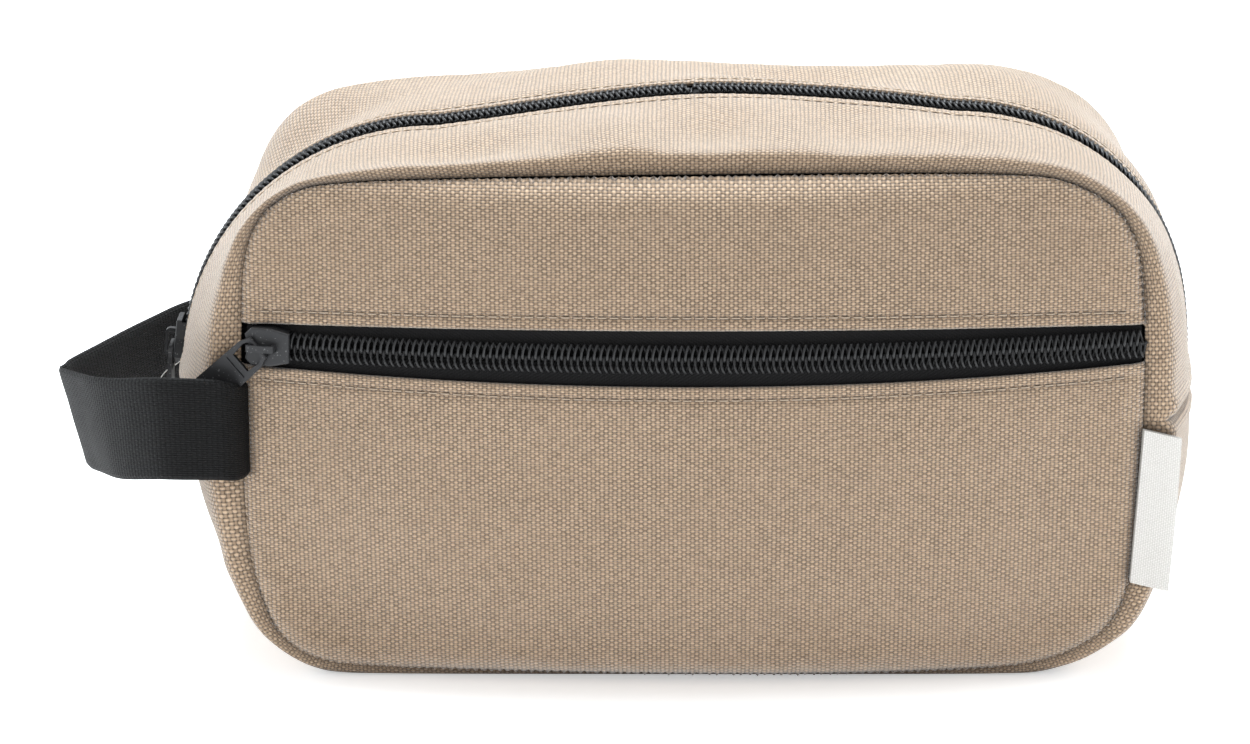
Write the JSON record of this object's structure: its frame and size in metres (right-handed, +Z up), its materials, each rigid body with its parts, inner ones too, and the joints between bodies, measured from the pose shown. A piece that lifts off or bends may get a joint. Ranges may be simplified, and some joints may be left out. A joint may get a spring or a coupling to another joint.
{
  "type": "shaving kit bag",
  "caption": "Box-shaped canvas shaving kit bag with a zip over the top, a zipped front pocket, a webbing carry loop on one end and a blank folded side label.",
  "frame": {"origin": "on the floor under the middle of the bag's body", "axes": "+X along the bag away from the carry loop, +Y from the pocket side to the back, +Z up"},
  "size_m": [0.2798, 0.1153, 0.1309],
  "materials": {
    "canvas": "matte, coarse basket weave",
    "lining": "smooth plain weave",
    "zip_tape": "fine woven tape",
    "zip_coil": "satin nylon",
    "slider_metal": "dark grey satin paint",
    "webbing": "ribbed webbing",
    "label": "satin woven label"
  },
  "bodies": {
    "bag": {"front_panel_upper": "canvas", "front_panel_lower": "canvas", "back_panel": "canvas", "bottom_gusset": "canvas", "top_gusset_front_ends": "canvas", "top_gusset_back_ends": "canvas", "front_zip_tape_upper": "zip_tape", "front_zip_tape_lower": "zip_tape", "front_zip_coil_upper": "zip_coil", "front_zip_coil_lower": "zip_coil", "top_zip_tape_front_ends": "zip_tape", "top_zip_tape_back_ends": "zip_tape", "top_zip_coil_front_ends": "zip_coil", "top_zip_coil_back_ends": "zip_coil", "pocket_wall": "lining", "main_lining": "lining"},
    "front_lip": {"top_gusset_front": "canvas", "top_zip_tape_front": "zip_tape", "top_zip_coil_front": "zip_coil"},
    "back_lip": {"top_gusset_back": "canvas", "top_zip_tape_back": "zip_tape", "top_zip_coil_back": "zip_coil"},
    "front_slider": {"front_slider_body": "slider_metal", "front_slider_bridge": "slider_metal", "front_slider_lock": "slider_metal"},
    "front_pull": {"front_pull_tab": "slider_metal"},
    "top_slider": {"top_slider_body": "slider_metal", "top_slider_bridge": "slider_metal", "top_slider_lock": "slider_metal"},
    "top_pull": {"top_pull_tab": "slider_metal"},
    "handle": {"handle_strap": "webbing", "handle_strap_ends": "webbing"},
    "label": {"side_label": "label"}
  },
  "joints": [
    {"name": "front_slider_travel", "type": "hinge", "parent": "bag", "child": "front_slider", "pos_m": [0, 0.37559, 0.083], "axis": [0, 0, 1], "range_deg": [0, 25.9]},
    {"name": "front_pull_swing", "type": "hinge", "parent": "front_slider", "child": "front_pull", "pos_m": [-0.1014, -0.04952, 0.08327], "axis": [-0.6506, 0.2129, 0.729], "range_deg": [0, 110]},
    {"name": "top_slider_travel", "type": "hinge", "parent": "bag", "child": "top_slider", "pos_m": [-0.062, 0, 0.06351], "axis": [0, 1, 0], "range_deg": [0, 76]},
    {"name": "top_pull_swing", "type": "hinge", "parent": "top_slider", "child": "top_pull", "pos_m": [-0.1271, 0, 0.06901], "axis": [0, 1, 0], "range_deg": [0, 110]},
    {"name": "handle_swing", "type": "hinge", "parent": "bag", "child": "handle", "pos_m": [-0.1063, 0, 0.0615], "axis": [0, 1, 0], "range_deg": [-40, 40], "deforming": ["handle_strap_ends"]},
    {"name": "label_flap", "type": "hinge", "parent": "bag", "child": "label", "pos_m": [0.1064, -0.0476, 0.0435], "axis": [0, 0, 1], "range_deg": [-80, 20]},
    {"name": "front_lip_open", "type": "hinge", "parent": "bag", "child": "front_lip", "pos_m": [0, -0.046, 0.121], "axis": [-1, 0, 0], "range_deg": [-60, 0]},
    {"name": "back_lip_open", "type": "hinge", "parent": "bag", "child": "back_lip", "pos_m": [0, 0.046, 0.121], "axis": [1, 0, 0], "range_deg": [-60, 0]}
  ]
}
